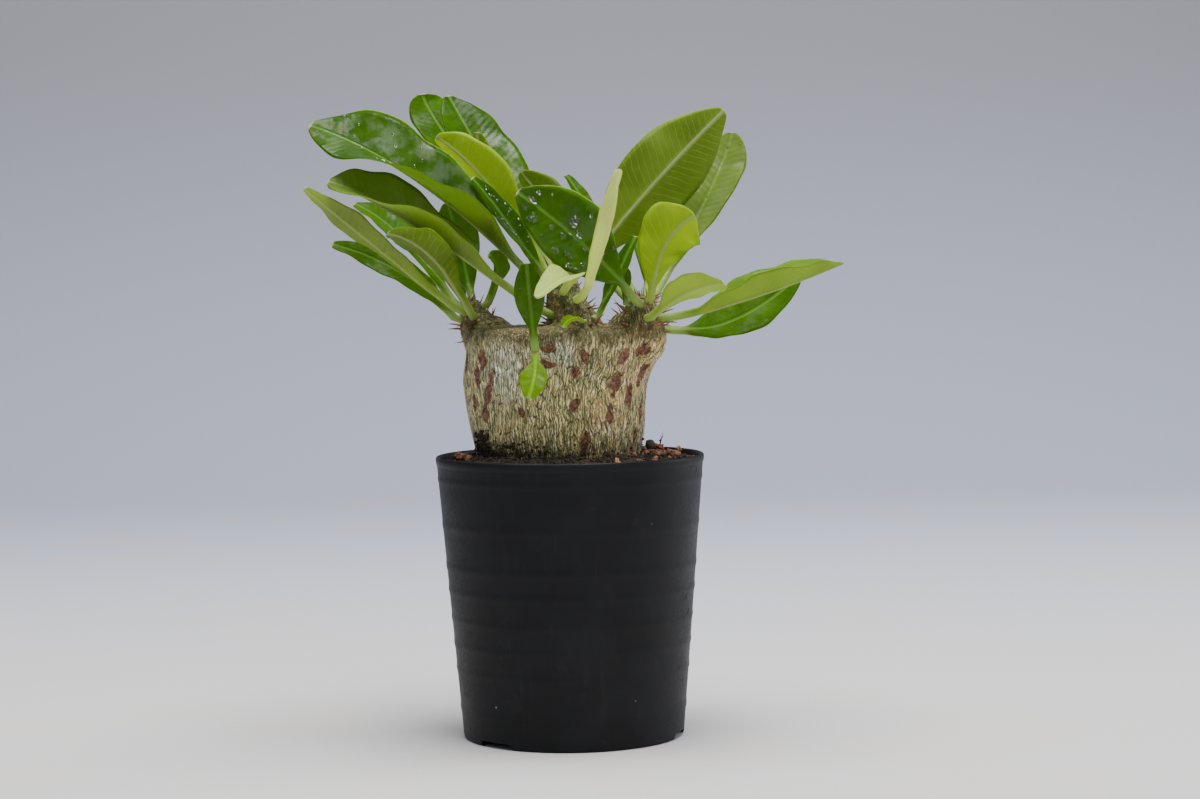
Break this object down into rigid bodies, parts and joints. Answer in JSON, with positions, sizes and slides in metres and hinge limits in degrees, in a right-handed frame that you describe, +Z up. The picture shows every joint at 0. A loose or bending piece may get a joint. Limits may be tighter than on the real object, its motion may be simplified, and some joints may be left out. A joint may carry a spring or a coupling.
{
  "type": "potted pachypodium",
  "caption": "Young caudex plant: a swollen ribbed trunk with stubby arms and folded green leaves, in a plain tapered nursery pot",
  "frame": {"origin": "centre of the flat pad under the pot, on the plane the pot stands on", "axes": "+Z up along the pot's axis; the plant's front, where the small front shoot grows, faces -Y; +X is to the right seen from the front"},
  "size_m": [0.1753, 0.1214, 0.2195],
  "materials": {
    "pot_plastic": "near-black moulded nursery plastic, satin, faint horizontal rings",
    "soil_mix": "dark damp potting mix with fine grit",
    "caudex_bark": "silvery grey-green bark with fine upright wrinkles and reddish-brown scars",
    "leaf_deep": "glossy dark green upper face, paler grey-green underside",
    "leaf_fresh": "fresh green, pale midrib, matte underside",
    "leaf_lime": "bright yellow-green young leaf lit through",
    "pumice": "rough reddish pumice"
  },
  "bodies": {
    "root": {"pot": "pot_plastic", "soil": "soil_mix", "caudex": "caudex_bark", "leaf_left_1": "leaf_fresh", "leaf_left_2": "leaf_deep", "leaf_left_3": "leaf_fresh", "leaf_left_4": "leaf_deep", "leaf_left_5": "leaf_deep", "leaf_left_6": "leaf_fresh", "leaf_left_7": "leaf_deep", "leaf_centre_1": "leaf_deep", "leaf_centre_2": "leaf_deep", "leaf_centre_3": "leaf_deep", "leaf_centre_4": "leaf_deep", "leaf_centre_5": "leaf_lime", "leaf_centre_6": "leaf_fresh", "leaf_centre_7": "leaf_deep", "leaf_centre_8": "leaf_fresh", "leaf_centre_9": "leaf_fresh", "leaf_centre_10": "leaf_fresh", "leaf_centre_11": "leaf_deep", "leaf_right_1": "leaf_deep", "leaf_right_2": "leaf_deep", "leaf_right_3": "leaf_deep", "leaf_right_4": "leaf_deep", "leaf_right_5": "leaf_lime", "leaf_right_6": "leaf_fresh", "leaf_right_7": "leaf_fresh", "leaf_right_8": "leaf_deep", "leaf_right_9": "leaf_deep", "leaf_right_10": "leaf_deep", "leaf_top_1": "leaf_deep", "leaf_top_2": "leaf_lime", "leaf_front_1": "leaf_deep", "leaf_front_2": "leaf_lime", "granule_1": "pumice", "granule_2": "pumice", "granule_3": "pumice", "granule_4": "pumice", "granule_5": "pumice", "granule_6": "pumice", "granule_7": "pumice", "granule_8": "pumice"}
  },
  "joints": []
}
